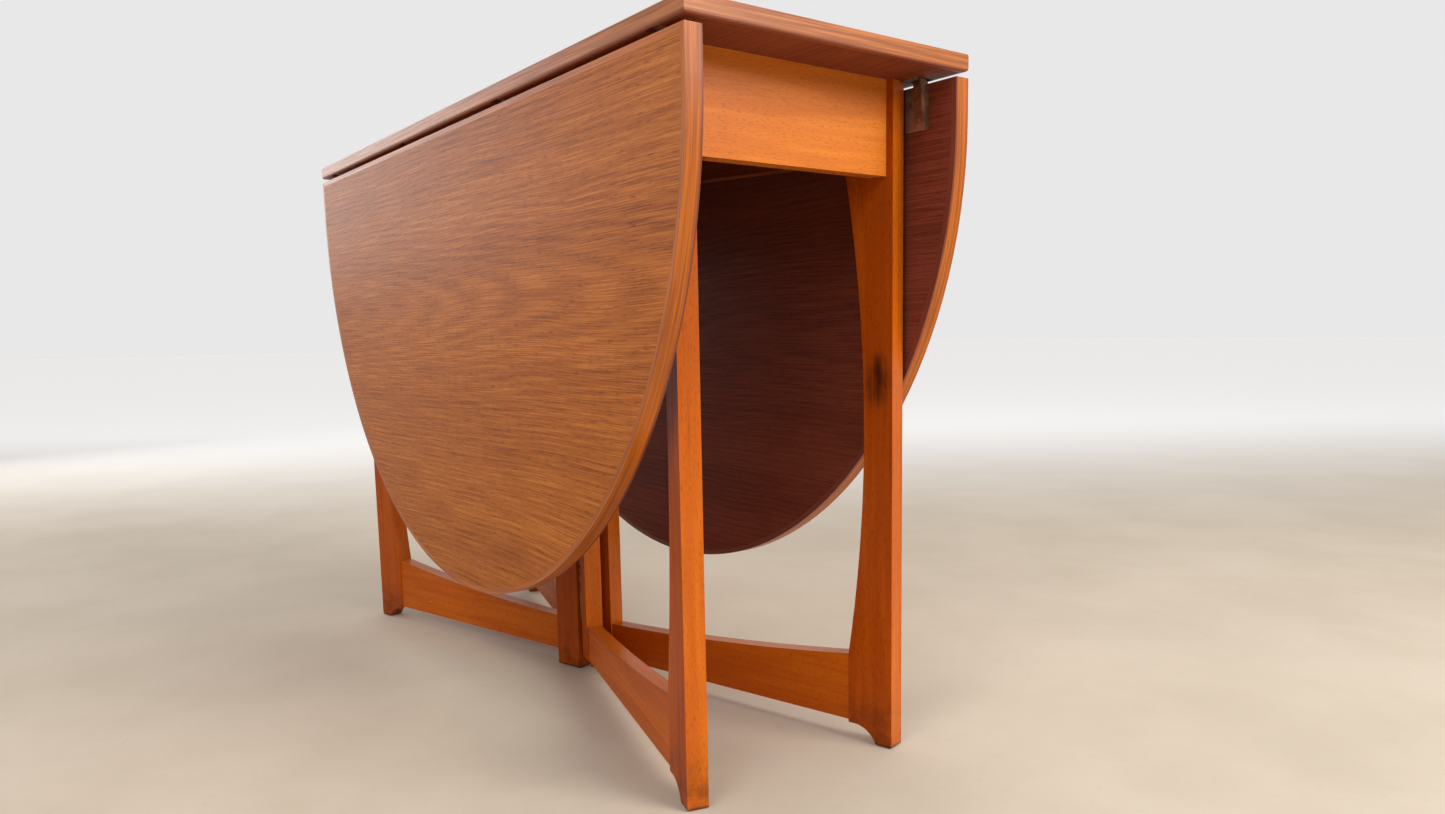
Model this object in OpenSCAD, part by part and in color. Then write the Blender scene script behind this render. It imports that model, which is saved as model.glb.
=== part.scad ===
// Drop leaf table: fixed centre board, two hanging round leaves, two fixed
// diagonal frames that meet at the middle, and two hinged gates.
// X runs along the table, Y across it, Z up, origin on the floor at the centre.

/* [Table] */
// Height of the table top above the floor
table_h = 730; // [700:5:760]
// Length of the centre board and of both leaves
top_l = 1044; // [1030:2:1120]
// Width of the centre board
top_w = 340; // [336:2:360]
// Thickness of the centre board
top_t = 17.5; // [17:0.1:18]
// Thickness of each leaf
leaf_t = 17.6; // [17:0.1:18]
// How far a leaf hangs down, from its hinge edge to the bottom of its curve
leaf_drop = 562; // [550:2:570]
// Gap between the centre board and a hanging leaf
leaf_gap = 6; // [6:0.1:6.5]
// Gap between the centre board and a raised leaf
leaf_seam = 0.5; // [0.4:0.1:0.8]
// Width of the solid lipping round each board
lipping_w = 6; // [5:0.5:8]
// Radius on the lower long edges of the centre board
under_r = 4; // [4:0.25:5]
// Radius on the upper edges of the centre board
over_r = 2.5; // [2:0.25:3]

/* [Underframe] */
// Angle of the fixed frames to the length of the table
frame_a = 15; // [14:0.5:16]
// Angle of the gates to the length of the table
gate_a = 15.5; // [15:0.5:16.5]
// Thickness of legs and posts
frame_t = 22; // [20:0.5:24]
// Thickness of stretchers and top rails
rail_t = 18; // [16:0.5:20]
// Outer face of a fixed frame, measured from the middle of the underframe
frame_face = 18; // [17:0.5:19]
// Outer face of a gate, measured from the middle of the underframe
gate_face = 13.5; // [13:0.25:14]
// Middle of the underframe, to the side of the middle of the top
middle_y = 5; // [0:0.5:6]
// Distance from the middle to the outer edge of a fixed leg
leg_reach = 478; // [460:1:482]
// Distance from the middle to the outer edge of a gate leg
gate_reach = 462; // [440:1:466]
// Height of the underside of the stretchers
stretcher_z = 22; // [20:1:30]
// Height of a stretcher where it meets its leg
stretcher_leg_z = 99; // [90:1:110]
// Height of a stretcher where it meets its post
stretcher_post_z = 69; // [60:1:75]
// Depth of the dip in the top edge of a stretcher
stretcher_dip = 5; // [3:0.5:8]
// Depth of the top rails
rail_h = 75; // [60:1:80]
// Clearance between a gate and the underside of the top
gate_gap = 1; // [0.8:0.1:2]

/* [Legs] */
// Width of a leg where the stretcher meets it
leg_low_w = 55; // [50:1:60]
// Width of a leg at its waist
leg_waist_w = 34.5; // [30:0.5:38]
// Height of the waist
waist_z = 355; // [340:5:370]
// Width of a foot at the floor
foot_w = 20; // [18:0.5:24]
// Radius of the cove cut above a foot
cove_r = 30; // [28:1:32]
// Width of an inner post
post_w = 42; // [40:0.5:44]
// Half of the space between the two inner posts
post_gap = 4; // [3.8:0.1:4.2]
// Distance from the middle to the outer side of a gate post
gate_post_end = 41; // [38:0.5:44]
// Thickness of the nail-on glides
glide_t = 1.5; // [1:0.25:2]

/* [Aprons] */
// Distance from the middle to the outer face of an apron
apron_x = 455; // [454:0.5:457]
// Thickness of an apron
apron_t = 19; // [16:0.5:20]
// Depth of an apron
apron_h = 96; // [80:1:100]
// Full thickness of an apron ends here, from the middle of the underframe
apron_end = 103; // [90:1:104]
// Length of the thinner end that passes in front of a gate leg
apron_tongue = 24; // [10:1:30]
// Thickness of that end
apron_tongue_t = 6; // [4:0.5:6]

/* [Leaf hinges] */
// Distance from the middle to the outer hinges
hinge_out = 470.5; // [470:0.5:476]
// Distance from the middle to the inner hinges
hinge_in = 152; // [120:1:180]
// Width of the hinge at its knuckles
hinge_w = 20; // [18:0.5:20]
// Width of the flap that is screwed to the leaf
flap_w = 30; // [28:1:34]
// Radius of the hinge pin
hinge_pin_r = 1.8; // [1.5:0.1:2]
// Radius of a hinge knuckle
hinge_knuckle_r = 3.2; // [3:0.1:3.4]
// Radial clearance of a pin in the turning knuckle
pin_fit = 0.05; // [0.03:0.01:0.08]

/* [Gate hinges] */
// Lower end of the long gate hinge
gate_hinge_z = 72; // [70:1:90]
// Number of knuckles on a gate hinge
gate_knuckles = 29; // [21:2:31]
// Length of one knuckle
gate_knuckle_l = 19; // [16:0.5:20]
// Radius of a gate hinge knuckle
gate_knuckle_r = 2.5; // [2.4:0.1:2.6]
// Radius of the gate hinge pin
gate_pin_r = 1.2; // [1:0.1:1.4]
// Thickness of the gate hinge's long leaves
gate_leaf_t = 1.7; // [1.6:0.1:1.8]
// How far the gate hinge is set in from the outer face of a post
gate_pin_in = 4.5; // [4:0.25:5]

/* [Hidden] */

teak = [0.72, 0.42, 0.20];
teak_edge = [0.78, 0.50, 0.27];
beech = [0.74, 0.37, 0.13];
beech_dark = [0.55, 0.25, 0.11];
brass = [0.66, 0.53, 0.28];
steel = [0.45, 0.42, 0.38];
zinc = [0.70, 0.70, 0.70];
nickel = [0.62, 0.62, 0.60];

under_z = table_h - top_t;
leaf_top_z = under_z - leaf_gap;
leaf_r = top_l / 2;
leaf_flat = leaf_drop - leaf_r;
// a leaf turns from hanging flush with the edge to lying flush with the top
swing = (top_t + leaf_gap - leaf_seam) / 2;
hinge_z = table_h - swing;
hinge_y = top_w / 2 - swing;
hinges_x = [-hinge_out, -hinge_in, hinge_in, hinge_out];
flap_face = hinge_y - (top_w / 2 - leaf_t);
plate_drop = hinge_z - under_z;
tenon_l = 14;
tenon_t = 8;
waist_r = (pow(waist_z - stretcher_leg_z, 2) + pow(leg_low_w - leg_waist_w, 2))
    / (2 * (leg_low_w - leg_waist_w));
rail_z = under_z - rail_h;
leg_top_w = leg_waist_w + waist_r
    - sqrt(pow(waist_r, 2) - pow(rail_z - waist_z, 2));
gate_top_z = under_z - gate_gap;
gate_pin_y = gate_pin_in - frame_face;
gate_hinge_top = gate_hinge_z + gate_knuckles * gate_knuckle_l;
frame_y0 = frame_face - frame_t;
frame_mid = frame_y0 + frame_t / 2;
post_end = post_gap + post_w;
gate_y0 = -gate_face;
gate_mid = gate_y0 + frame_t / 2;
plate_t = 1.8;
flap_t = 2;
flap_l = 57;
plate_l = 21;
arm_w = 9;
rib_t = 2;
plate_screws = [[-5.5, 17], [5.5, 17]];
flap_screws = [[-6.5, 29], [2.5, 46]];
knuckle_end = 0.15;
fine = 96;
big = 720;

// ---- placing ----

// the half of the underframe at the near end, or at the far end
module half(far) {
    translate([0, middle_y, 0])
        rotate([0, 0, far ? 180 : 0])
            children();
}

// a flat board standing on edge: its profile is drawn in length and height
module board(y0, t) {
    translate([0, y0 + t, 0])
        rotate([90, 0, 0])
            linear_extrude(height = t)
                children();
}

// ---- centre board ----

// the corner that a rounded edge takes off, along X
module edge_cut(len, r) {
    difference() {
        translate([-len / 2 - 1, 0, 0])
            cube([len + 2, r + 1, r + 1]);
        translate([-len / 2 - 2, 0, 0])
            rotate([0, 90, 0])
                cylinder(h = len + 4, r = r, $fn = fine);
    }
}

// rounds off two opposite long edges of the board below and above
module long_edges(len, wide, low_r, high_r) {
    for (side = [0, 1])
        mirror([0, side, 0]) {
            translate([0, wide / 2 - high_r, table_h - high_r])
                edge_cut(len, high_r);
            translate([0, wide / 2 - low_r, under_z + low_r])
                mirror([0, 0, 1])
                    edge_cut(len, low_r);
        }
}

// room for the knuckles of the leaf hinges in the underside
module hinge_pockets() {
    for (side = [0, 1])
        mirror([0, side, 0])
            for (x = hinges_x)
                translate([x - hinge_w / 2 - 0.6, -hinge_y - 9.4, under_z - 1])
                    cube([hinge_w + 1.2, 21.6, plate_drop + 5.2]);
}

module top_core(grow) {
    translate([-top_l / 2 + lipping_w, -top_w / 2 + lipping_w, under_z - grow])
        cube([top_l - 2 * lipping_w, top_w - 2 * lipping_w, top_t + 2 * grow]);
}

module top_panel() {
    color(teak)
        difference() {
            top_core(0);
            hinge_pockets();
        }
}

module top_lipping() {
    color(teak_edge)
        difference() {
            translate([-top_l / 2, -top_w / 2, under_z])
                cube([top_l, top_w, top_t]);
            top_core(1);
            hinge_pockets();
            long_edges(top_l, top_w, under_r, over_r);
            rotate([0, 0, 90])
                long_edges(top_w, top_l, over_r, over_r);
        }
}

// ---- leaves ----

// outline of a leaf, seen from its side and measured from its hinge edge down
module leaf_outline(inset) {
    translate([0, -leaf_flat])
        intersection() {
            circle(r = leaf_r - inset, $fn = big);
            translate([-leaf_r, -leaf_r - 1])
                square([2 * leaf_r, leaf_r + 1]);
        }
    translate([-leaf_r + inset, -leaf_flat - 0.01])
        square([2 * (leaf_r - inset), leaf_flat + 0.01 - inset]);
}

module leaf_sheet(side, inset, over) {
    translate([0, side * (top_w / 2 - leaf_t / 2), leaf_top_z])
        board(-leaf_t / 2 - over, leaf_t + 2 * over)
            leaf_outline(inset);
}

module leaf_panel(side) {
    color(teak)
        leaf_sheet(side, lipping_w, 0);
}

module leaf_lipping(side) {
    color(teak_edge)
        difference() {
            leaf_sheet(side, 0, 0);
            leaf_sheet(side, lipping_w, 1);
        }
}

// ---- fixed frames and gates: shared shapes ----

module tenon(s0, s1, mid, z0, z1) {
    translate([s0, mid - tenon_t / 2, z0])
        cube([s1 - s0, tenon_t, z1 - z0]);
}

// tenons at both ends of a stretcher
module stretcher_tenons(s0, s1, mid) {
    tenon(s0 - tenon_l, s0 + 1, mid, stretcher_z + 10, stretcher_post_z - 10);
    tenon(s1 - 1, s1 + tenon_l, mid, stretcher_z + 10, stretcher_leg_z - 15);
}

// tenons at both ends of a top rail
module rail_tenons(s0, s1, mid) {
    tenon(s0 - tenon_l, s0 + 1, mid, rail_z + 12, under_z - 20);
    tenon(s1 - 1, s1 + tenon_l, mid, rail_z + 12, under_z - 20);
}

// stretcher with a hollow top edge, from its post to its leg
module stretcher(s0, s1, mid) {
    half_l = norm([s1 - s0, stretcher_leg_z - stretcher_post_z]) / 2;
    r = (pow(half_l, 2) + pow(stretcher_dip, 2)) / (2 * stretcher_dip);
    tilt = atan2(stretcher_leg_z - stretcher_post_z, s1 - s0);
    difference() {
        translate([s0, mid - rail_t / 2, stretcher_z])
            cube([s1 - s0, rail_t, stretcher_leg_z - stretcher_z + 4]);
        translate([
            (s0 + s1) / 2 - (r - stretcher_dip) * sin(tilt),
            mid,
            (stretcher_post_z + stretcher_leg_z) / 2
                + (r - stretcher_dip) * cos(tilt)
        ])
            rotate([90, 0, 0])
                cylinder(h = rail_t + 2, r = r, center = true, $fn = big * 2);
    }
    stretcher_tenons(s0, s1, mid);
}

module rail(s0, s1, mid, top_z) {
    translate([s0, mid - rail_t / 2, rail_z])
        cube([s1 - s0, rail_t, top_z - rail_z]);
    rail_tenons(s0, s1, mid);
}

// waisted leg with a coved foot; its outer edge is straight
module leg(reach, y0, top_z) {
    mid = y0 + frame_t / 2;
    difference() {
        union() {
            translate([reach - leg_low_w, y0, glide_t])
                cube([leg_low_w, frame_t, stretcher_leg_z - glide_t]);
            translate([reach - leg_top_w, y0, stretcher_leg_z - 0.01])
                cube([leg_top_w, frame_t, top_z - stretcher_leg_z + 0.01]);
        }
        translate([reach - leg_waist_w - waist_r, mid, waist_z])
            rotate([90, 0, 0])
                cylinder(h = frame_t + 2, r = waist_r, center = true, $fn = big);
        translate([
            reach - foot_w - sqrt(pow(cove_r, 2) - 144),
            mid,
            glide_t - 12
        ])
            rotate([90, 0, 0])
                cylinder(h = frame_t + 2, r = cove_r, center = true, $fn = fine);
        translate([reach - leg_low_w - 1, y0 - 1, glide_t - 1])
            cube([
                leg_low_w + 1 - foot_w - sqrt(pow(cove_r, 2) - 144),
                frame_t + 2,
                cove_r - 12 + 1
            ]);
        stretcher_tenons(0, reach - leg_low_w, mid);
        rail_tenons(0, reach - leg_top_w, mid);
    }
}

module glide(s, y) {
    translate([s, y, 0])
        cylinder(h = glide_t, r = 7, $fn = fine);
}

// ---- fixed frames ----

module frame(far) {
    half(far)
        rotate([0, 0, frame_a])
            children();
}

module frame_leg(far) {
    color(beech)
        frame(far)
            leg(leg_reach, frame_y0, under_z);
}

module frame_stretcher(far) {
    color(beech)
        frame(far)
            stretcher(post_end, leg_reach - leg_low_w, frame_mid);
}

module frame_rail(far) {
    color(beech_dark)
        frame(far)
            rail(post_end, leg_reach - leg_top_w, frame_mid, under_z);
}

module frame_post(far) {
    color(beech)
        frame(far)
            difference() {
                translate([post_gap, frame_y0, glide_t])
                    cube([post_w, frame_t, under_z - glide_t]);
                stretcher_tenons(post_end, 1000, frame_mid);
                rail_tenons(post_end, 1000, frame_mid);
            }
}

// strip that is glued between the two inner posts
module centre_key() {
    color(beech_dark)
        half(false)
            rotate([0, 0, frame_a])
                translate([-post_gap, frame_y0 + 0.2, stretcher_z])
                    cube([
                        2 * post_gap,
                        -2 * frame_y0 - 0.4,
                        under_z - stretcher_z
                    ]);
}

// blocks that hold the top rails to the underside of the top
module top_blocks() {
    color(beech_dark)
        for (far = [false, true])
            frame(far)
                for (s = [110, 320])
                    translate([s, frame_mid + rail_t / 2, under_z - 18])
                        cube([48, 18, 18]);
}

module frame_glides() {
    color(steel)
        for (far = [false, true])
            frame(far) {
                glide(leg_reach - foot_w / 2, frame_mid);
                glide(post_gap + post_w / 2, frame_mid);
            }
}

// ---- aprons ----

// distance across, at X = x, of the inner face of the fixed leg
function leg_face(x) = x * tan(frame_a) + frame_y0 / cos(frame_a);

module apron(far) {
    color(beech)
        half(far)
            translate([0, 0, under_z - apron_h])
                linear_extrude(height = apron_h)
                    polygon([
                        [apron_x - apron_t, -apron_end],
                        [apron_x - apron_tongue_t, -apron_end],
                        [
                            apron_x - apron_tongue_t,
                            -apron_end - apron_tongue
                        ],
                        [apron_x, -apron_end - apron_tongue],
                        [apron_x, leg_face(apron_x)],
                        [apron_x - apron_t, leg_face(apron_x - apron_t)]
                    ]);
}

// ---- gates ----

module gate(far) {
    half(far)
        rotate([0, 0, -gate_a])
            children();
}

module gate_leg(far) {
    color(beech)
        gate(far)
            leg(gate_reach, gate_y0, gate_top_z);
}

module gate_stretcher(far) {
    color(beech)
        gate(far)
            stretcher(gate_post_end, gate_reach - leg_low_w, gate_mid);
}

module gate_rail(far) {
    color(beech_dark)
        gate(far)
            rail(gate_post_end, gate_reach - leg_top_w, gate_mid, gate_top_z);
}

// gate post: bevelled on the hinge side to lie parallel to the fixed posts
module gate_post(far) {
    color(beech)
        difference() {
            gate(far)
                translate([0, gate_y0, stretcher_z])
                    cube([gate_post_end, frame_t, gate_top_z - stretcher_z]);
            frame(far)
                translate([-60, -60, 0])
                    cube([60 + post_gap, 120, table_h]);
            frame(far)
                translate([-60, frame_y0 - 0.8, 0])
                    cube([160, 60, table_h]);
            gate(far) {
                stretcher_tenons(gate_post_end, 1000, gate_mid);
                rail_tenons(gate_post_end, 1000, gate_mid);
            }
        }
}

module gate_glide(far) {
    color(steel)
        gate(far)
            glide(gate_reach - foot_w / 2, gate_mid);
}

// ---- gate hinges ----

module knuckles(first, bore) {
    for (i = [first:2:gate_knuckles - 1])
        translate([0, gate_pin_y, gate_hinge_z + i * gate_knuckle_l + knuckle_end])
            difference() {
                cylinder(
                    h = gate_knuckle_l - 2 * knuckle_end,
                    r = gate_knuckle_r,
                    $fn = fine
                );
                translate([0, 0, -1])
                    cylinder(h = gate_knuckle_l + 2, r = bore, $fn = fine);
            }
}

// long leaf on the face of a post, on the side of the pin that side gives
module hinge_strip(first, side) {
    x0 = side < 0 ? -post_gap : post_gap - gate_leaf_t;
    translate([x0, gate_pin_y + gate_knuckle_r + 0.3, gate_hinge_z])
        cube([
            gate_leaf_t,
            frame_y0 - 1.2 - gate_pin_y - gate_knuckle_r - 0.3,
            gate_knuckles * gate_knuckle_l
        ]);
    for (i = [first:2:gate_knuckles - 1])
        translate([
            x0,
            gate_pin_y,
            gate_hinge_z + i * gate_knuckle_l + knuckle_end
        ])
            cube([
                gate_leaf_t,
                gate_knuckle_r + 0.4,
                gate_knuckle_l - 2 * knuckle_end
            ]);
}

module gate_hinge(far, first, side, bore) {
    color(brass)
        frame(far)
            difference() {
                union() {
                    knuckles(first, bore);
                    hinge_strip(first, side);
                }
                translate([0, gate_pin_y, gate_hinge_z - 1])
                    cylinder(
                        h = gate_hinge_top - gate_hinge_z + 2,
                        r = bore,
                        $fn = fine
                    );
            }
}

module gate_hinge_pin(far) {
    color(nickel)
        frame(far)
            translate([0, gate_pin_y, gate_hinge_z])
                cylinder(
                    h = gate_hinge_top - gate_hinge_z,
                    r = gate_pin_r,
                    $fn = fine
                );
}

// ---- leaf hinges ----

// one side of the table; the hinges sit on the pin line of that side
module pin_line(side) {
    mirror([0, side > 0 ? 0 : 1, 0])
        for (x = hinges_x)
            translate([x, hinge_y, hinge_z])
                children();
}

// a profile across the table, drawn inboard and up, spread along X
module cross(x0, w) {
    translate([x0, 0, 0])
        rotate([90, 0, 90])
            mirror([1, 0])
                linear_extrude(height = w)
                    children();
}

module knuckle_bore(r) {
    translate([-hinge_w, 0, 0])
        rotate([0, 90, 0])
            cylinder(h = 2 * hinge_w, r = r, $fn = fine);
}

module knuckle(x0, w) {
    translate([x0, 0, 0])
        rotate([0, 90, 0])
            cylinder(h = w, r = hinge_knuckle_r, $fn = fine);
}

module web_of_plate() {
    polygon([
        [-1, -2.9],
        [2.9, -0.6],
        [11, -plate_drop],
        [plate_l, -plate_drop],
        [plate_l, -plate_drop - plate_t],
        [9.5, -plate_drop - plate_t]
    ]);
}

module screw_head(r) {
    cylinder(h = 1.5, r1 = r * 0.5, r2 = r, $fn = fine);
    translate([0, 0, -10])
        cylinder(h = 10.5, r = r * 0.5, $fn = fine);
}

module plate_screw_places() {
    for (p = plate_screws)
        translate([p[0], -p[1], -plate_drop - plate_t])
            rotate([180, 0, 0])
                translate([0, 0, -1.5])
                    children();
}

module flap_screw_places() {
    for (p = flap_screws)
        translate([p[0], -flap_face - flap_t, -p[1]])
            rotate([90, 0, 0])
                mirror([0, 0, 1])
                    rotate([180, 0, 0])
                        translate([0, 0, -1.5])
                            children();
}

module leaf_hinge_plates(side) {
    color(steel)
        pin_line(side)
            difference() {
                union() {
                    for (x0 = [-hinge_w / 2, arm_w / 2 + 0.3]) {
                        w = hinge_w / 2 - arm_w / 2 - 0.3;
                        knuckle(x0, w);
                        cross(x0, w)
                            web_of_plate();
                    }
                    translate([
                        -hinge_w / 2,
                        -plate_l,
                        -plate_drop - plate_t
                    ])
                        cube([hinge_w, plate_l - 13, plate_t]);
                }
                knuckle_bore(hinge_pin_r);
                plate_screw_places()
                    screw_head(3.4);
            }
}

// the rib that stiffens one edge of a flap
module flap_rib() {
    polygon([
        [flap_face, -14],
        [flap_face + 1.5, -10.5],
        [flap_face + 4.5, -8.6],
        [flap_face + 10.6, -8.6],
        [flap_face + 10.4, -16],
        [flap_face + 6.2, -flap_l + 2.4],
        [flap_face + 5.2, -flap_l + 0.6],
        [flap_face + 3.8, -flap_l],
        [flap_face, -flap_l]
    ]);
}

module leaf_hinge_flaps(side) {
    color(steel)
        pin_line(side)
            difference() {
                union() {
                    knuckle(-arm_w / 2, arm_w);
                    cross(-arm_w / 2, arm_w)
                        polygon([
                            [-1.4, -2.4],
                            [2.4, -1],
                            [flap_face + flap_t, -7.6],
                            [flap_face + flap_t, -14],
                            [flap_face, -14],
                            [flap_face, -8.8]
                        ]);
                    translate([-flap_w / 2, -flap_face - flap_t, -flap_l])
                        cube([flap_w, flap_t, flap_l - 13]);
                    cross(flap_w / 2 - rib_t, rib_t)
                        flap_rib();
                }
                knuckle_bore(hinge_pin_r + pin_fit);
                flap_screw_places()
                    screw_head(3.4);
            }
}

module leaf_hinge_pins(side) {
    color(nickel)
        pin_line(side)
            translate([-hinge_w / 2, 0, 0])
                rotate([0, 90, 0])
                    cylinder(h = hinge_w, r = hinge_pin_r, $fn = fine);
}

module plate_screw_set(side) {
    color(zinc)
        pin_line(side)
            plate_screw_places()
                cylinder(h = 1.5, r1 = 1.7, r2 = 3.4, $fn = fine);
}

module flap_screw_set(side) {
    color(zinc)
        pin_line(side)
            flap_screw_places()
                cylinder(h = 1.5, r1 = 1.7, r2 = 3.4, $fn = fine);
}

// ---- one module for each node ----

module leaf_left_panel() { leaf_panel(-1); }
module leaf_left_lipping() { leaf_lipping(-1); }
module leaf_right_panel() { leaf_panel(1); }
module leaf_right_lipping() { leaf_lipping(1); }
module apron_near() { apron(false); }
module apron_far() { apron(true); }
module near_leg() { frame_leg(false); }
module near_stretcher() { frame_stretcher(false); }
module near_rail() { frame_rail(false); }
module near_post() { frame_post(false); }
module far_leg() { frame_leg(true); }
module far_stretcher() { frame_stretcher(true); }
module far_rail() { frame_rail(true); }
module far_post() { frame_post(true); }
module gate_left_leg() { gate_leg(false); }
module gate_left_stretcher() { gate_stretcher(false); }
module gate_left_rail() { gate_rail(false); }
module gate_left_post() { gate_post(false); }
module gate_left_glide() { gate_glide(false); }
module gate_right_leg() { gate_leg(true); }
module gate_right_stretcher() { gate_stretcher(true); }
module gate_right_rail() { gate_rail(true); }
module gate_right_post() { gate_post(true); }
module gate_right_glide() { gate_glide(true); }
module gate_left_hinge_fixed() { gate_hinge(false, 0, -1, gate_pin_r); }
module gate_left_hinge_moving() { gate_hinge(false, 1, 1, gate_pin_r + pin_fit); }
module gate_left_hinge_pin() { gate_hinge_pin(false); }
module gate_right_hinge_fixed() { gate_hinge(true, 0, -1, gate_pin_r); }
module gate_right_hinge_moving() { gate_hinge(true, 1, 1, gate_pin_r + pin_fit); }
module gate_right_hinge_pin() { gate_hinge_pin(true); }
module leaf_left_hinge_plates() { leaf_hinge_plates(-1); }
module leaf_left_hinge_flaps() { leaf_hinge_flaps(-1); }
module leaf_left_hinge_pins() { leaf_hinge_pins(-1); }
module leaf_left_plate_screws() { plate_screw_set(-1); }
module leaf_left_flap_screws() { flap_screw_set(-1); }
module leaf_right_hinge_plates() { leaf_hinge_plates(1); }
module leaf_right_hinge_flaps() { leaf_hinge_flaps(1); }
module leaf_right_hinge_pins() { leaf_hinge_pins(1); }
module leaf_right_plate_screws() { plate_screw_set(1); }
module leaf_right_flap_screws() { flap_screw_set(1); }

top_panel();
top_lipping();
leaf_left_panel();
leaf_left_lipping();
leaf_right_panel();
leaf_right_lipping();
apron_near();
apron_far();
near_leg();
near_stretcher();
near_rail();
near_post();
far_leg();
far_stretcher();
far_rail();
far_post();
centre_key();
top_blocks();
frame_glides();
gate_left_leg();
gate_left_stretcher();
gate_left_rail();
gate_left_post();
gate_left_glide();
gate_right_leg();
gate_right_stretcher();
gate_right_rail();
gate_right_post();
gate_right_glide();
gate_left_hinge_fixed();
gate_left_hinge_moving();
gate_left_hinge_pin();
gate_right_hinge_fixed();
gate_right_hinge_moving();
gate_right_hinge_pin();
leaf_left_hinge_plates();
leaf_left_hinge_flaps();
leaf_left_hinge_pins();
leaf_left_plate_screws();
leaf_left_flap_screws();
leaf_right_hinge_plates();
leaf_right_hinge_flaps();
leaf_right_hinge_pins();
leaf_right_plate_screws();
leaf_right_flap_screws();
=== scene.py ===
import math

import bpy
from mathutils import Matrix, Vector


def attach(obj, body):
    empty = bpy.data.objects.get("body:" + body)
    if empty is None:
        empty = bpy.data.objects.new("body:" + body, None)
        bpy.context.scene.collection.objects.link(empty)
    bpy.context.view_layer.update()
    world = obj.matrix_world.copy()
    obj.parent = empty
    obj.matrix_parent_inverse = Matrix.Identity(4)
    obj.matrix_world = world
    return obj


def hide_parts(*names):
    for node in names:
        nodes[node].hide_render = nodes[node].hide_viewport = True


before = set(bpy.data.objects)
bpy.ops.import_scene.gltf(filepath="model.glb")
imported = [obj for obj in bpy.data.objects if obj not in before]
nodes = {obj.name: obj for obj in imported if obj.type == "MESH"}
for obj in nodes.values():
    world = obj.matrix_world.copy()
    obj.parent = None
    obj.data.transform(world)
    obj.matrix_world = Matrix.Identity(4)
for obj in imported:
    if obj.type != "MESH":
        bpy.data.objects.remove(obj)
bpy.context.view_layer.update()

# ---- sizes of the design, in metres ----
TOP_H, TOP_T, TOP_W = 0.730, 0.0175, 0.340  # centre board: height, thickness, width
LEAF_T, LEAF_GAP = 0.0176, 0.006  # a leaf's thickness, and the gap above it as it hangs
LEAF_R, LEAF_FLAT = 0.522, 0.040  # radius of its round edge, and the straight part above that
LEAF_TOP = TOP_H - TOP_T - LEAF_GAP
LEAF_IN = TOP_W / 2 - LEAF_T  # its inner face, from the table's middle
LIP = 0.006  # thickness of the lipping
FRAME_A, GATE_A = math.radians(15), math.radians(-15.5)  # turn of the fixed frames and gates
MIDDLE_Y = 0.005  # middle of the underframe
HINGE_Y, HINGE_Z = 0.1585, 0.7185  # axis of the leaf hinges
HINGES_X = (-0.4705, -0.152, 0.152, 0.4705)
PLATE_SCREWS = (-0.0055, 0.0055)  # across the plate from its middle
PLATE_SCREW_IN, PLATE_SCREW_DROP = 0.017, 0.0078  # inward and down from the axis
FLAP_SCREWS = ((-0.0065, 0.029), (0.0025, 0.046))  # across the flap, and down from the axis
FLAP_FACE = 0.0081  # from the axis in to the face of the flap
HEAD_R, SLOT_FLOOR_R, SLOT_HALF = 0.00325, 0.0026, 0.00042  # a screw's head and its slot
HEAD_LOW, HEAD_HIGH = -0.0011, -0.00002  # from the metal's face outward
SLOT_LOW, SLOT_HIGH = -0.0014, -0.0006


def srgb(r, g, b):
    """A colour given as 0 to 255 on screen, as linear RGBA."""
    lin = [c / 12.92 if c <= 0.04045 else ((c + 0.055) / 1.055) ** 2.4
           for c in (r / 255, g / 255, b / 255)]
    return (*lin, 1.0)


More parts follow.
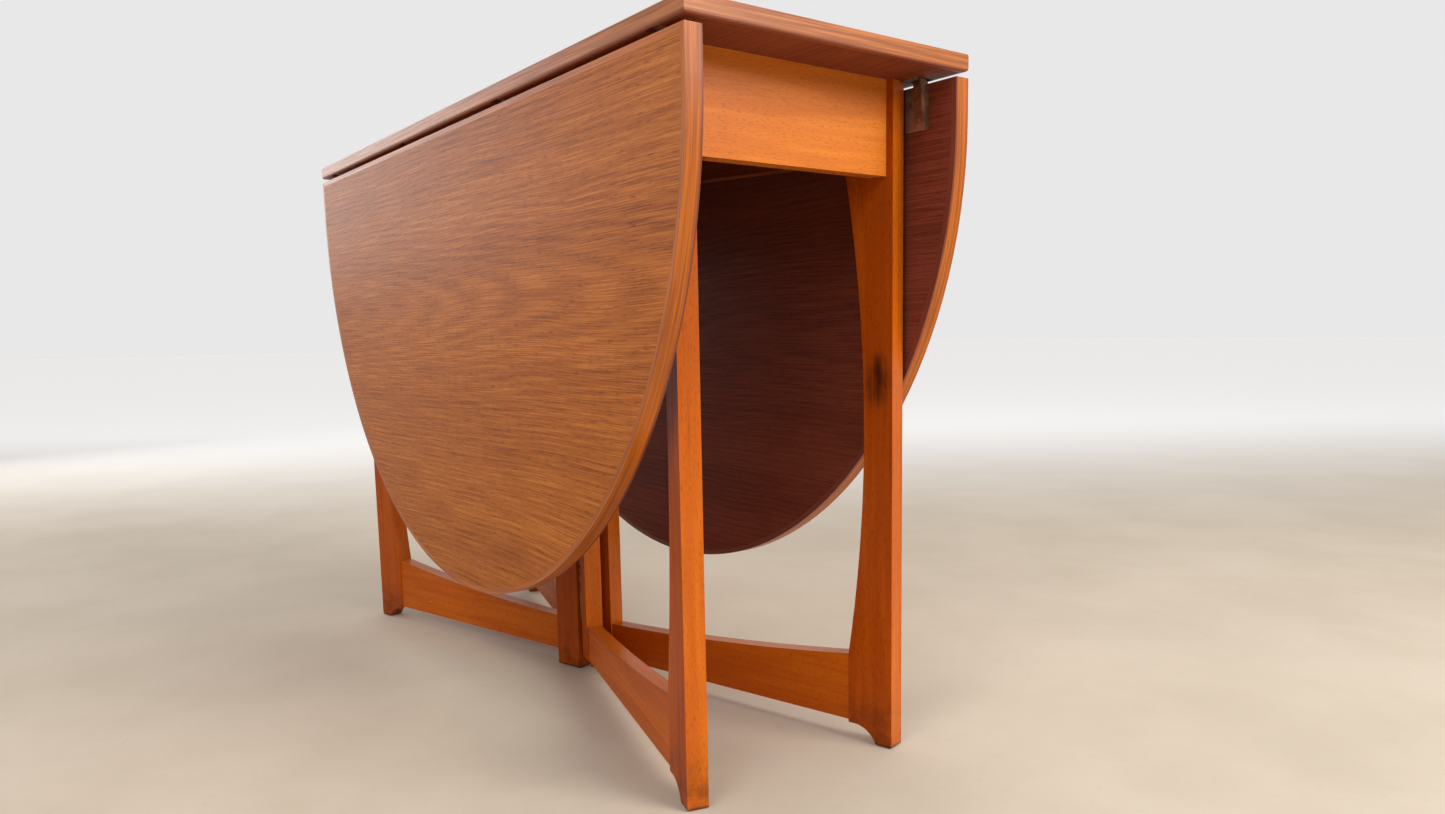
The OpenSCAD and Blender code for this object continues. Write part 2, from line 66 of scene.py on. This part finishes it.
class Mat:
    """A node material with a Principled shader and short ways to add nodes."""

    def __init__(self, name, roughness=0.5, **fixed):
        self.mat = bpy.data.materials.new(name)
        self.mat.use_nodes = True
        self.tree = self.mat.node_tree
        self.tree.nodes.clear()
        self.out = self.tree.nodes.new("ShaderNodeOutputMaterial")
        self.bsdf = self.tree.nodes.new("ShaderNodeBsdfPrincipled")
        self.tree.links.new(self.bsdf.outputs[0], self.out.inputs[0])
        self.bsdf.inputs["Roughness"].default_value = roughness
        for key, value in fixed.items():
            self.bsdf.inputs[key.replace("_", " ")].default_value = value
        self.pos = self.add("ShaderNodeTexCoord").outputs["Object"]

    def add(self, kind, **props):
        made = self.tree.nodes.new(kind)
        for key, value in props.items():
            setattr(made, key, value)
        return made

    def put(self, socket, value):
        if isinstance(value, bpy.types.NodeSocket):
            self.tree.links.new(value, socket)
        elif value is not None:
            socket.default_value = value

    def math(self, op, a, b=None, c=None):
        made = self.add("ShaderNodeMath", operation=op)
        for socket, value in zip(made.inputs, (a, b, c)):
            self.put(socket, value)
        return made.outputs[0]

    def dot(self, a, b):
        made = self.add("ShaderNodeVectorMath", operation="DOT_PRODUCT")
        self.put(made.inputs[0], a)
        self.put(made.inputs[1], b)
        return made.outputs["Value"]

    def vec(self, x, y, z):
        made = self.add("ShaderNodeCombineXYZ")
        for socket, value in zip(made.inputs, (x, y, z)):
            self.put(socket, value)
        return made.outputs[0]

    def noise(self, vector, scale=1.0, detail=2.0, rough=0.5):
        made = self.add("ShaderNodeTexNoise")
        self.put(made.inputs["Vector"], vector)
        made.inputs["Scale"].default_value = scale
        made.inputs["Detail"].default_value = detail
        made.inputs["Roughness"].default_value = rough
        return made.outputs["Fac"]

    def step(self, value, low, high, to_low=0.0, to_high=1.0):
        """A smooth step from to_low at low to to_high at high."""
        made = self.add("ShaderNodeMapRange", interpolation_type="SMOOTHSTEP")
        for key, v in (("Value", value), ("From Min", low), ("From Max", high),
                       ("To Min", to_low), ("To Max", to_high)):
            self.put(made.inputs[key], v)
        return made.outputs[0]

    def mix(self, factor, a, b, blend="MIX"):
        """Colour a at factor 0, and colour b, or its blend with a, at factor 1."""
        made = self.add("ShaderNodeMix", data_type="RGBA", blend_type=blend)
        self.put(made.inputs["Factor"], factor)
        self.put([s for s in made.inputs if s.name == "A" and s.type == "RGBA"][0], a)
        self.put([s for s in made.inputs if s.name == "B" and s.type == "RGBA"][0], b)
        return [s for s in made.outputs if s.type == "RGBA"][0]

    def split(self, vector):
        made = self.add("ShaderNodeSeparateXYZ")
        self.put(made.inputs[0], vector)
        return made.outputs

    def near(self, point, inner, outer, warp, tall):
        """1 within inner of a point, falling to 0 at outer; warp makes its outline
        uneven and tall stretches it upward."""
        away = self.add("ShaderNodeVectorMath", operation="SUBTRACT")
        self.put(away.inputs[0], self.pos)
        away.inputs[1].default_value = point
        flat = self.add("ShaderNodeVectorMath", operation="MULTIPLY")
        self.put(flat.inputs[0], away.outputs[0])
        flat.inputs[1].default_value = (1.0, 1.0, 1.0 / tall)
        length = self.add("ShaderNodeVectorMath", operation="LENGTH")
        self.put(length.inputs[0], flat.outputs[0])
        far = self.math("ADD", length.outputs["Value"], warp)
        return self.step(far, inner, outer, 1.0, 0.0)

    def finish(self, colour, rough=None, height=None, strength=0.0, depth=0.0):
        """Links the colour, the roughness and a bump to the shader."""
        self.put(self.bsdf.inputs["Base Color"], colour)
        if rough is not None:
            self.put(self.bsdf.inputs["Roughness"], rough)
        if height is not None:
            bump = self.add("ShaderNodeBump")
            bump.inputs["Strength"].default_value = strength
            bump.inputs["Distance"].default_value = depth
            self.put(bump.inputs["Height"], height)
            self.tree.links.new(bump.outputs[0], self.bsdf.inputs["Normal"])
        return self.mat


def grain_axes(m, along, across, seed):
    """Distances along the grain and the two ways across it, moved apart by the seed."""
    g = m.dot(m.pos, along)
    a = m.dot(m.pos, across)
    n = m.dot(m.pos, tuple(Vector(along).cross(Vector(across))))
    return (m.math("ADD", g, seed * 1.37), m.math("ADD", a, seed * 0.61),
            m.math("ADD", n, seed * 0.23))


def veneer(name, light, mid, dark, seed, figure, under, split_at):
    """Teak veneer with its grain along X: arched figure, streaks and open pores.
    figure is the height of the arches' middle line, the lean of the log and its
    depth. Past split_at, an axis and two places, the darker tones of under show as painted shade."""
    m = Mat(name)
    x, y, z = m.split(m.pos)
    flat = m.math("ADD", y, z)
    across = m.math("ADD", flat, seed * 0.61)
    along = m.math("ADD", x, seed * 1.37)
    sway = m.noise(m.vec(m.math("MULTIPLY", along, 1.3), m.math("MULTIPLY", across, 2.6), 0.0),
                   1.0, 2.0, 0.5)
    sway = m.math("MULTIPLY_ADD", sway, 0.05, -0.025)
    small = m.noise(m.vec(m.math("MULTIPLY", along, 7.0), m.math("MULTIPLY", across, 60.0), 5.0),
                    1.0, 2.0, 0.5)
    sway = m.math("ADD", sway, m.math("MULTIPLY_ADD", small, 0.0024, -0.0012))
    shifted = m.math("ADD", across, sway)
    middle, lean, depth = figure
    off = m.math("ADD", m.math("SUBTRACT", flat, middle), sway)
    cone = m.math("MULTIPLY_ADD", x, lean, depth)
    ring = m.math("SQRT", m.math("ADD", m.math("MULTIPLY", off, off),
                                 m.math("MULTIPLY", cone, cone)))
    bands = m.math("MULTIPLY_ADD", m.math("SINE", m.math("MULTIPLY", ring, 900.0)), 0.5, 0.5)
    broad = m.noise(m.vec(m.math("MULTIPLY", along, 0.9), m.math("MULTIPLY", shifted, 16.0), 3.0),
                    1.0, 3.0, 0.55)
    streak = m.noise(m.vec(m.math("MULTIPLY", along, 9.0), m.math("MULTIPLY", shifted, 760.0), 1.0),
                     1.0, 4.0, 0.65)
    dash = m.noise(m.vec(m.math("MULTIPLY", along, 60.0), m.math("MULTIPLY", shifted, 1000.0), 2.0),
                   1.0, 2.0, 0.6)
    pores = m.step(dash, 0.53, 0.66)
    pores = m.math("MULTIPLY", pores, m.step(bands, 0.1, 0.8, 0.5, 1.0))
    tone = m.math("ADD", m.math("MULTIPLY", bands, 0.15),
                  m.math("ADD", m.math("MULTIPLY", m.step(streak, 0.38, 0.62), 0.56),
                         m.math("MULTIPLY", m.step(broad, 0.3, 0.7), 0.32)))
    colour = m.mix(m.step(tone, 0.05, 0.60), light, mid)
    colour = m.mix(m.step(tone, 0.58, 1.0, 0.0, 0.55), colour, dark)
    colour = m.mix(m.math("MULTIPLY", pores, 0.62), colour, dark)
    # painted shade: past split_at the teak turns to the darker under tones of the inner or lower
    # face
    axis, low, high = split_at
    inner = m.step({"y": y, "z": z}[axis], low, high)
    deep = m.mix(m.step(tone, 0.15, 0.95), under[0], under[1])
    deep = m.mix(m.math("MULTIPLY", pores, 0.4), deep, under[2])
    colour = m.mix(inner, colour, deep)
    m.put(m.bsdf.inputs["Specular IOR Level"], m.step(inner, 0.0, 1.0, 0.13, 0.06))
    rough = m.math("MULTIPLY_ADD", streak, 0.12, 0.39)
    height = m.math("SUBTRACT", m.math("MULTIPLY", streak, 0.3), m.math("MULTIPLY", pores, 0.7))
    return m.finish(colour, rough, height, 0.16, 0.0002)


def edging(name, light, dark, round_leaf, unseen):
    """Solid teak lipping: fine lines along the edge, round the curve of a leaf,
    and painted shade in darker tones on its inner or lower side."""
    m = Mat(name, roughness=0.42, Specular_IOR_Level=0.36)
    x, y, z = m.split(m.pos)
    if round_leaf:
        dz = m.math("SUBTRACT", z, LEAF_TOP - LEAF_FLAT)
        wide = m.math("ABSOLUTE", x)
        angle = m.math("ARCTAN2", m.math("MINIMUM", dz, 0.0), x)
        far = m.math("SQRT", m.math("ADD", m.math("MULTIPLY", x, x), m.math("MULTIPLY", dz, dz)))
        over = m.math("GREATER_THAN", dz, 0.0)
        along = m.math("MULTIPLY_ADD", angle, LEAF_R, m.math("MULTIPLY", dz, over))
        v1 = m.math("ADD", m.math("MULTIPLY", far, m.math("SUBTRACT", 1.0, over)),
                    m.math("MULTIPLY", wide, over))
        upper = m.math("MULTIPLY", m.math("GREATER_THAN", z, LEAF_TOP - LIP - 0.0001),
                       m.math("LESS_THAN", wide, LEAF_R - LIP))
        lower = m.math("SUBTRACT", 1.0, upper)
        along = m.math("ADD", m.math("MULTIPLY", along, lower), m.math("MULTIPLY", x, upper))
        v1 = m.math("ADD", m.math("MULTIPLY", v1, lower), m.math("MULTIPLY", z, upper))
        v2 = m.math("MULTIPLY", y, 420.0)
        hidden = m.step(m.math("ABSOLUTE", y), LEAF_IN + 0.0012, LEAF_IN + 0.0030, 1.0, 0.0)
    else:
        along, v1, v2 = m.math("ADD", x, y), z, 0.0
        hidden = m.step(z, TOP_H - TOP_T + 0.0012, TOP_H - TOP_T + 0.0030, 1.0, 0.0)
    line = m.noise(m.vec(m.math("MULTIPLY", along, 8.0), m.math("MULTIPLY", v1, 420.0), v2),
                   1.0, 3.0, 0.6)
    soft = m.noise(m.vec(m.math("MULTIPLY", along, 2.5), m.math("MULTIPLY", v1, 90.0), 4.0),
                   1.0, 2.0, 0.5)
    worn = m.noise(m.pos, 55.0, 3.0, 0.6)
    lines = m.math("ADD", m.math("MULTIPLY", line, 0.9), m.math("MULTIPLY", soft, 0.25))
    colour = m.mix(m.step(lines, 0.42, 0.74), light, dark)
    colour = m.mix(m.step(worn, 0.71, 0.76, 0.0, 0.4), colour, srgb(96, 48, 22))
    # painted shade: the inner or lower side of the lipping takes the darker unseen tones
    colour = m.mix(hidden, colour, m.mix(line, unseen[0], unseen[1]))
    return m.finish(colour, m.math("MULTIPLY_ADD", line, 0.12, 0.32), line, 0.12, 0.0002)


def beech(name, along, across, seed, light, mid, dark, foot=False, marks=(), wide_face_shade=0.0):
    """Stained beech: soft streaks and the short dark flecks of its rays. A shade amount above zero
    paints shade onto the faces that look along neither given axis, foot adds dirt in patches low
    down and a darker band along the very bottom, and marks are (point, inner, outer, tall, colour,
    strength)."""
    m = Mat(name, roughness=0.42, Specular_IOR_Level=0.22)
    g, a, n = grain_axes(m, along, across, seed)
    sway = m.noise(m.vec(m.math("MULTIPLY", g, 3.0), m.math("MULTIPLY", a, 9.0),
                         m.math("MULTIPLY", n, 9.0)), 1.0, 2.0, 0.5)
    a2 = m.math("MULTIPLY_ADD", sway, 0.02, a)
    streak = m.noise(m.vec(m.math("MULTIPLY", g, 7.0), m.math("MULTIPLY", a2, 150.0),
                           m.math("MULTIPLY", n, 150.0)), 1.0, 3.0, 0.6)
    broad = m.noise(m.vec(m.math("MULTIPLY", g, 2.4), m.math("MULTIPLY", a2, 24.0),
                          m.math("MULTIPLY", n, 24.0)), 1.0, 2.0, 0.5)
    fleck = m.noise(m.vec(m.math("MULTIPLY", g, 170.0), m.math("MULTIPLY", a2, 760.0),
                          m.math("MULTIPLY", n, 760.0)), 1.0, 1.0, 0.5)
    fleck = m.step(fleck, 0.57, 0.66)
    tone = m.math("ADD", m.math("MULTIPLY", streak, 0.45), m.math("MULTIPLY", broad, 0.7))
    colour = m.mix(m.step(tone, 0.38, 0.66), light, mid)
    colour = m.mix(m.step(tone, 0.66, 0.86, 0.0, 0.7), colour, dark)
    colour = m.mix(m.math("MULTIPLY", fleck, 0.30), colour, dark)
    if wide_face_shade:
        normal = m.add("ShaderNodeTexCoord").outputs["Normal"]
        facing = m.math("ABSOLUTE", m.dot(normal, tuple(Vector(along).cross(Vector(across)))))
        # painted shade: the wide faces, which look along neither given axis, are multiplied darker
        # and reflect less
        colour = m.mix(m.step(facing, 0.80, 0.97, 0.0, wide_face_shade), colour,
                       srgb(196, 150, 120), "MULTIPLY")
        m.put(m.bsdf.inputs["Specular IOR Level"], m.step(facing, 0.80, 0.97, 0.24, 0.10))
    rough = m.math("MULTIPLY_ADD", streak, 0.16, 0.27)
    scuff = m.noise(m.pos, 38.0, 4.0, 0.65)
    nick = m.step(scuff, 0.73, 0.76, 0.0, 0.5)
    colour = m.mix(nick, colour, srgb(70, 32, 14))
    if foot:
        z = m.split(m.pos)[2]
        low = m.step(z, 0.0, 0.075, 1.0, 0.0)
        dirt = m.math("MULTIPLY", low, m.step(scuff, 0.36, 0.62))
        colour = m.mix(m.math("MULTIPLY", dirt, 0.6), colour, srgb(64, 34, 20))
        # the lowest few millimetres of each foot turn near black, darker towards the bottom
        sole = m.step(z, 0.0010, 0.0045, 0.8, 0.0)
        colour = m.mix(sole, colour, srgb(48, 32, 24))
    for point, inner, outer, tall, shade, strength in marks:
        spot = m.near(point, inner, outer, m.math("MULTIPLY_ADD", scuff, 0.014, -0.007), tall)
        spot = m.math("MULTIPLY", spot, m.step(streak, 0.35, 0.6, 0.35, 1.0))
        colour = m.mix(m.math("MULTIPLY", spot, strength), colour, shade)
    height = m.math("SUBTRACT", m.math("MULTIPLY", streak, 0.5), m.math("MULTIPLY", nick, 0.8))
    return m.finish(colour, rough, height, 0.14, 0.0003)


def metal(name, base, worn, rough, metallic=1.0, scale=300.0):
    """Dulled metal with fine streaks and darker patches."""
    m = Mat(name, roughness=rough, Metallic=metallic)
    patch = m.noise(m.pos, scale * 0.35, 4.0, 0.65)
    fine = m.noise(m.pos, scale * 4.0, 2.0, 0.6)
    colour = m.mix(m.step(patch, 0.40, 0.66), base, worn)
    value = m.math("MULTIPLY_ADD", patch, 0.3, rough - 0.12)
    return m.finish(colour, value, fine, 0.10, 0.0001)


# ---- materials ----
# tones of the leaves' inner faces and the centre board's underside, darker copies of the teak as
# painted shade, and of the faces that show
UNDER = (srgb(136, 69, 50), srgb(107, 50, 35), srgb(50, 22, 15))
BELOW = (srgb(144, 76, 50), srgb(120, 56, 36), srgb(70, 32, 20))
LIGHT, MID, DARK = srgb(204, 123, 48), srgb(174, 95, 31), srgb(94, 43, 12)

top_mat = veneer("teak_top", LIGHT, MID, DARK, 3.0, (0.74, 0.05, 0.07), BELOW,
                 ("z", TOP_H - 0.003, TOP_H - 0.004))
left_mat = veneer("teak_leaf_left", LIGHT, MID, DARK, 7.0, (0.33, 0.055, 0.075), UNDER,
                  ("y", -LEAF_IN - 0.004, -LEAF_IN - 0.002))
right_mat = veneer("teak_leaf_right", LIGHT, MID, DARK, 12.0, (0.60, -0.05, 0.07), UNDER,
                   ("y", LEAF_IN + 0.004, LEAF_IN + 0.002))
lip_top_mat = edging("teak_lipping_top", srgb(188, 112, 52), srgb(142, 76, 34), False, BELOW)
lip_leaf_mat = edging("teak_lipping_leaf", srgb(192, 104, 26), srgb(148, 74, 15), True, UNDER)

# tones of the beech that shows, of the aprons, and of the hidden inner parts, whose darker copy is
# painted shade for where they sit under the top
BEECH = (srgb(218, 114, 20), srgb(196, 94, 14), srgb(120, 54, 12))
APRON = (srgb(226, 132, 44), srgb(208, 112, 32), srgb(150, 70, 20))
INNER = (srgb(150, 80, 40), srgb(120, 58, 28), srgb(72, 34, 18))


def on_near_leg(out, aside, z):
    """A point of the near fixed frame: out from its post, aside from its middle, and up."""
    c, s = math.cos(FRAME_A), math.sin(FRAME_A)
    return (out * c - aside * s, out * s + aside * c + MIDDLE_Y, z)


def beech_for(name, angle, upright, seed, foot=False, marks=(), inner=False):
    """Beech for a member of a frame or gate that stands turned by angle."""
    level, up_z = (math.cos(angle), math.sin(angle), 0.0), (0.0, 0.0, 1.0)
    along, across = (up_z, level) if upright else (level, up_z)
    # uprights get stronger painted shade on their wide faces than level members do
    return beech(name, along, across, seed, *(INNER if inner else BEECH), foot=foot, marks=marks,
                 wide_face_shade=0.62 if upright else 0.30)


scorch_marks = (
    (on_near_leg(0.4606, -0.004, 0.409), 0.003, 0.016, 2.4, srgb(34, 15, 8), 0.92),
    (on_near_leg(0.4590, -0.004, 0.404), 0.004, 0.026, 1.8, srgb(74, 32, 12), 0.45),
)
scratch_marks = (
    ((-0.329, -0.1020, 0.042), 0.0010, 0.0060, 0.30, srgb(226, 160, 104), 0.8),
    ((-0.341, -0.1052, 0.046), 0.0010, 0.0050, 0.30, srgb(226, 160, 104), 0.8),
)

wood_of = {
    "near_leg": beech_for("beech_near_leg", FRAME_A, True, 1.0, True, scorch_marks),
    "far_leg": beech_for("beech_far_leg", FRAME_A, True, 2.0, True),
    "gate_left_leg": beech_for("beech_gate_left_leg", GATE_A, True, 3.0, True),
    "gate_right_leg": beech_for("beech_gate_right_leg", GATE_A, True, 4.0, True),
    "near_post": beech_for("beech_near_post", FRAME_A, True, 5.0, True),
    "far_post": beech_for("beech_far_post", FRAME_A, True, 6.0, True),
    "gate_left_post": beech_for("beech_gate_left_post", GATE_A, True, 7.0),
    "gate_right_post": beech_for("beech_gate_right_post", GATE_A, True, 8.0),
    "near_stretcher": beech_for("beech_near_stretcher", FRAME_A, False, 9.0),
    "far_stretcher": beech_for("beech_far_stretcher", FRAME_A, False, 10.0, False, scratch_marks),
    "gate_left_stretcher": beech_for("beech_gate_left_stretcher", GATE_A, False, 11.0),
    "gate_right_stretcher": beech_for("beech_gate_right_stretcher", GATE_A, False, 12.0),
    "apron_near": beech("beech_apron_near", (0, 1, 0), (0, 0, 1), 13.0, *APRON),
    "apron_far": beech("beech_apron_far", (0, 1, 0), (0, 0, 1), 14.0, *APRON),
    # the rails, key and blocks take the darker inner tones, painted shade under the top
    "near_rail": beech_for("beech_near_rail", FRAME_A, False, 15.0, inner=True),
    "far_rail": beech_for("beech_far_rail", FRAME_A, False, 16.0, inner=True),
    "gate_left_rail": beech_for("beech_gate_left_rail", GATE_A, False, 17.0, inner=True),
    "gate_right_rail": beech_for("beech_gate_right_rail", GATE_A, False, 18.0, inner=True),
    "centre_key": beech_for("beech_key", FRAME_A, True, 19.0, inner=True),
    "top_blocks": beech_for("beech_blocks", FRAME_A, False, 20.0, inner=True),
}

# brass of the gate hinges: dull brass, and kept dark as painted shade of the narrow gap between the
# posts
brass_mat = metal("brass_dull_gap_shade", srgb(140, 108, 60), srgb(66, 48, 28), 0.46)
nickel_mat = metal("nickel_dull", srgb(190, 188, 182), srgb(120, 116, 108), 0.32)
zinc_mat = metal("zinc_screw", srgb(176, 172, 164), srgb(96, 88, 78), 0.38)
# steel of the leaf hinges: real steel whose brown-grey base and low metallic paint in the brown
# reflection of the teak around it
steel_mat = metal("steel_teak_reflection", srgb(172, 136, 110), srgb(124, 94, 74), 0.42, 0.6, 120.0)
glide_mat = metal("glide_worn", srgb(90, 86, 82), srgb(40, 36, 34), 0.5)


def paint(obj, mat):
    obj.data.materials.clear()
    obj.data.materials.append(mat)


def soften(obj, width, segments=3):
    """Rounds the sharp edges of a piece by a little, as sanding does."""
    mod = obj.modifiers.new("soft_edges", "BEVEL")
    mod.width = width
    mod.segments = segments
    mod.limit_method = "ANGLE"
    mod.angle_limit = math.radians(40)
    mod.harden_normals = True
    mod.use_clamp_overlap = True


# how far each kind of member is rounded, by the last word of its name
SOFT = {"leg": 0.0022, "post": 0.0018, "stretcher": 0.0016, "rail": 0.0012,
        "near": 0.0016, "far": 0.0016, "key": 0.0006, "blocks": 0.001}
for name, mat in wood_of.items():
    obj = nodes[name]
    paint(obj, mat)
    soften(obj, SOFT[name.split("_")[-1]])

for name, obj in nodes.items():
    if name in wood_of:
        continue
    if name == "top_panel":
        paint(obj, top_mat)
    elif name == "leaf_left_panel":
        paint(obj, left_mat)
    elif name == "leaf_right_panel":
        paint(obj, right_mat)
    elif name == "top_lipping":
        paint(obj, lip_top_mat)
    elif name.endswith("lipping"):
        paint(obj, lip_leaf_mat)
    elif "glide" in name:
        paint(obj, glide_mat)
    elif name.endswith(("pin", "pins")):
        paint(obj, nickel_mat)
    elif name.endswith("screws"):
        paint(obj, zinc_mat)
    elif name.startswith("gate"):
        paint(obj, brass_mat)
    else:
        paint(obj, steel_mat)


def mesh_object(name, verts, faces):
    mesh = bpy.data.meshes.new(name)
    mesh.from_pydata([tuple(v) for v in verts], [], faces)
    mesh.validate()
    obj = bpy.data.objects.new(name, mesh)
    bpy.context.scene.collection.objects.link(obj)
    return obj


def prism(verts, faces, outline, place, depth):
    """Adds a flat outline, given by place(u, v, w), drawn out from depth 0 to depth 1."""
    first, n = len(verts), len(outline)
    for w in depth:
        verts += [place(u, v, w) for u, v in outline]
    faces.append(tuple(first + i for i in reversed(range(n))))
    faces.append(tuple(first + n + i for i in range(n)))
    faces += [(first + i, first + (i + 1) % n, first + n + (i + 1) % n, first + n + i)
              for i in range(n)]


def slotted_screws(name, node, body, places):
    """Countersunk heads with a driver slot, in place of the plain ones. Each place is
    a point on the metal, the way out of it, and the turn of the slot."""
    verts, faces = [], []
    for at, out, turn in places:
        out = Vector(out)
        u0 = Vector((1, 0, 0))
        v0 = out.cross(u0)
        u = math.cos(turn) * u0 + math.sin(turn) * v0
        v = math.cos(turn) * v0 - math.sin(turn) * u0

        def place(a, b, c):
            return Vector(at) + a * u + b * v + c * out

        disc = [i * math.tau / 28 for i in range(28)]
        slot_floor = [(SLOT_FLOOR_R * math.cos(t), SLOT_FLOOR_R * math.sin(t)) for t in disc]
        prism(verts, faces, slot_floor, place, (SLOT_LOW, SLOT_HIGH))
        edge = math.asin(SLOT_HALF / HEAD_R)
        arc = [edge + i * (math.pi - 2 * edge) / 16 for i in range(17)]
        for sign in (1, -1):
            half = [(HEAD_R * math.cos(t), sign * HEAD_R * math.sin(t)) for t in arc]
            prism(verts, faces, half if sign > 0 else half[::-1], place, (HEAD_LOW, HEAD_HIGH))
    obj = mesh_object(name, verts, faces)
    paint(obj, zinc_mat)
    soften(obj, 0.00016, 2)
    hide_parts(node)
    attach(obj, body)
    return obj


for side_name, side in (("left", -1), ("right", 1)):
    body = f"leaf_{side_name}"
    plate_y, plate_z = side * (HINGE_Y - PLATE_SCREW_IN), HINGE_Z - PLATE_SCREW_DROP
    plate_places = [((hx + x, plate_y, plate_z), (0, 0, -1), 0.6 * i + 90 * x)
                    for i, hx in enumerate(HINGES_X) for x in PLATE_SCREWS]
    flap_y = side * (HINGE_Y - FLAP_FACE)
    flap_places = [((hx + x, flap_y, HINGE_Z - z), (0, -side, 0), 0.9 * i + 40 * z)
                   for i, hx in enumerate(HINGES_X) for x, z in FLAP_SCREWS]
    slotted_screws(f"{body}_plate_screw_heads", f"{body}_plate_screws", "frame",
                           plate_places)
    slotted_screws(f"{body}_flap_screw_heads", f"{body}_flap_screws", body,
                           flap_places)


# ---- floor, lights and camera ----
corners = [(-30, -30, 0), (30, -30, 0), (30, 30, 0), (-30, 30, 0)]
floor = mesh_object("floor", corners, [(0, 1, 2, 3)])
floor_mat = Mat("pale_floor", roughness=0.8, Specular_IOR_Level=0.12)
cloud = floor_mat.noise(floor_mat.pos, 3.0, 4.0, 0.6)
speck = floor_mat.noise(floor_mat.pos, 60.0, 4.0, 0.7)
# painted glow: toward the far side the floor fades to white and gives off light of its own,
# standing in for a lit backdrop
far_glow = floor_mat.step(floor_mat.dot(floor_mat.pos, (-0.79, 0.60, 0.0)), 0.7, 3.6)
pale = floor_mat.mix(floor_mat.step(cloud, 0.3, 0.7), srgb(210, 197, 180), srgb(201, 188, 170))
pale = floor_mat.mix(floor_mat.step(speck, 0.55, 0.75, 0.0, 0.25), pale, srgb(186, 172, 154))
pale = floor_mat.mix(far_glow, pale, srgb(236, 235, 234))
# the floor's own painted glow, rising toward the far side
floor_mat.bsdf.inputs["Emission Color"].default_value = srgb(236, 235, 234)
floor_mat.put(floor_mat.bsdf.inputs["Emission Strength"],
              floor_mat.math("MULTIPLY", far_glow, 0.42))
floor.data.materials.append(floor_mat.finish(pale))

world = bpy.data.worlds.new("studio")
bpy.context.scene.world = world
world.use_nodes = True
sky = world.node_tree
back = sky.nodes["Background"]
back.inputs["Color"].default_value = srgb(236, 235, 235)
look = sky.nodes.new("ShaderNodeTexCoord")
toward = sky.nodes.new("ShaderNodeVectorMath")
toward.operation = "DOT_PRODUCT"
toward.inputs[1].default_value = (-0.79, 0.60, -0.10)
glow = sky.nodes.new("ShaderNodeMapRange")
glow.interpolation_type = "SMOOTHSTEP"
for key, value in (("From Min", 0.10), ("From Max", 0.80), ("To Min", 0.58), ("To Max", 0.97)):
    glow.inputs[key].default_value = value
sky.links.new(look.outputs["Generated"], toward.inputs[0])
sky.links.new(toward.outputs["Value"], glow.inputs["Value"])
sky.links.new(glow.outputs[0], back.inputs["Strength"])


def area_light(name, place, target, size, power, tint=(1.0, 1.0, 1.0)):
    light = bpy.data.lights.new(name, "AREA")
    light.shape = "DISK"
    light.size = size
    light.energy = power
    light.color = tint
    obj = bpy.data.objects.new(name, light)
    obj.location = place
    obj.rotation_euler = (Vector(target) - Vector(place)).to_track_quat("-Z", "Y").to_euler()
    bpy.context.scene.collection.objects.link(obj)
    return obj


area_light("key", (2.75, 0.95, 1.90), (0.3, 0.0, 0.35), 1.7, 70.0, (1.0, 0.96, 0.90))
area_light("fill", (1.4, -2.3, 2.3), (0.1, -0.1, 0.4), 1.8, 30.0, (1.0, 0.97, 0.94))
area_light("sheen", (-3.3, -0.9, 1.4), (-0.3, -0.17, 0.6), 1.5, 19.0)
area_light("top_fill", (0.2, 0.3, 3.0), (0.0, 0.0, 0.5), 2.6, 12.0)

# camera: where the photographer stood, with the frame's own small shift
CAM_AT = (1.212, -0.6398, 0.4623)
CAM_TURN, CAM_TILT, CAM_ROLL = math.radians(52.83), math.radians(-7.271), math.radians(-0.8986)
FOCAL_PX, FRAME_PX = 1005.5, 1445.0
ahead = Vector((-math.sin(CAM_TURN) * math.cos(CAM_TILT),
                math.cos(CAM_TURN) * math.cos(CAM_TILT), math.sin(CAM_TILT)))
right = ahead.cross(Vector((0, 0, 1))).normalized()
up = right.cross(ahead)
cr, sr = math.cos(CAM_ROLL), math.sin(CAM_ROLL)
right, up = cr * right + sr * up, cr * up - sr * right
cam_data = bpy.data.cameras.new("photo_camera")
cam_data.sensor_width = 36.0
cam_data.lens = 36.0 * FOCAL_PX / FRAME_PX
cam_data.shift_x = -0.0153
cam_data.shift_y = 0.0352
cam = bpy.data.objects.new("photo_camera", cam_data)
cam.matrix_world = Matrix((
    (right.x, up.x, -ahead.x, CAM_AT[0]),
    (right.y, up.y, -ahead.y, CAM_AT[1]),
    (right.z, up.z, -ahead.z, CAM_AT[2]),
    (0, 0, 0, 1)))
bpy.context.scene.collection.objects.link(cam)
bpy.context.scene.camera = cam
bpy.context.scene.view_settings.view_transform = "Standard"
